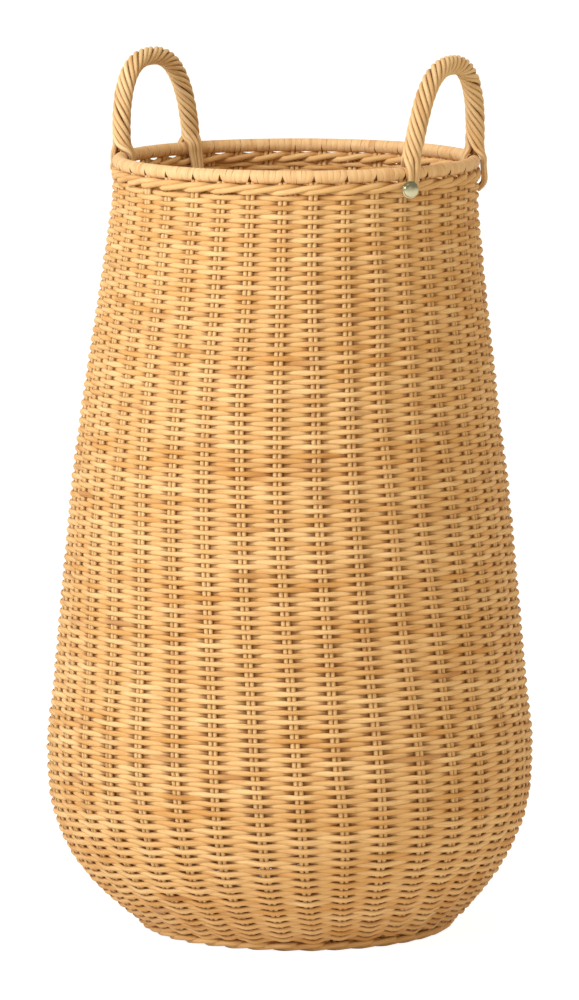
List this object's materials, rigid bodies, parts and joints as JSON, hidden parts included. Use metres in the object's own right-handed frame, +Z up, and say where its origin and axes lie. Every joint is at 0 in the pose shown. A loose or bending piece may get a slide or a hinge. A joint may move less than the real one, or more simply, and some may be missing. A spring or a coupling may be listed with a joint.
{
  "type": "laundry basket",
  "caption": "Tall pear-shaped open laundry basket, woven of round rattan rods over paired stakes, with a wide belly, cane-bound rim, arched rope-twist handles and a small domed brass stud",
  "frame": {"origin": "middle of the foot's underside, on the floor, on the basket's axis", "axes": "+Z up along the axis, +X towards the middle of the right handle, which carries the stud; the left handle stands nearly opposite, over -X"},
  "size_m": [0.4205, 0.4209, 0.7612],
  "materials": {
    "stake_rattan": "peeled rattan rod, satin, straw to honey",
    "weave_rattan": "round rattan core, satin, warm honey with rod-to-rod variation",
    "wale_rattan": "round rattan core, satin, warm honey",
    "base_rattan": "round rattan core, dull, light brown",
    "hoop_rattan": "thick rattan pole, satin, light brown",
    "binding_cane": "split flat cane, slight skin gloss, honey",
    "handle_rattan": "round rattan core, satin, honey",
    "stud_brass": "pale satin brass, plain domed face"
  },
  "bodies": {
    "root": {"stake_pair_01": "stake_rattan", "stake_pair_02": "stake_rattan", "stake_pair_03": "stake_rattan", "stake_pair_04": "stake_rattan", "stake_pair_05": "stake_rattan", "stake_pair_06": "stake_rattan", "stake_pair_07": "stake_rattan", "stake_pair_08": "stake_rattan", "stake_pair_09": "stake_rattan", "stake_pair_10": "stake_rattan", "stake_pair_11": "stake_rattan", "stake_pair_12": "stake_rattan", "stake_pair_13": "stake_rattan", "stake_pair_14": "stake_rattan", "stake_pair_15": "stake_rattan", "stake_pair_16": "stake_rattan", "stake_pair_17": "stake_rattan", "stake_pair_18": "stake_rattan", "stake_pair_19": "stake_rattan", "stake_pair_20": "stake_rattan", "stake_pair_21": "stake_rattan", "stake_pair_22": "stake_rattan", "stake_pair_23": "stake_rattan", "stake_pair_24": "stake_rattan", "stake_pair_25": "stake_rattan", "stake_pair_26": "stake_rattan", "stake_pair_27": "stake_rattan", "stake_pair_28": "stake_rattan", "stake_pair_29": "stake_rattan", "stake_pair_30": "stake_rattan", "stake_pair_31": "stake_rattan", "stake_pair_32": "stake_rattan", "stake_pair_33": "stake_rattan", "stake_pair_34": "stake_rattan", "stake_pair_35": "stake_rattan", "stake_pair_36": "stake_rattan", "stake_pair_37": "stake_rattan", "wall_weave": "weave_rattan", "foot_wale": "wale_rattan", "top_wale": "wale_rattan", "base_weave": "base_rattan", "base_sticks_lower": "base_rattan", "base_sticks_upper": "base_rattan", "rim_hoop": "hoop_rattan", "rim_binding": "binding_cane", "right_handle_bow": "hoop_rattan", "right_handle_rope": "handle_rattan", "left_handle_bow": "hoop_rattan", "left_handle_rope": "handle_rattan", "brass_stud": "stud_brass"}
  },
  "joints": []
}
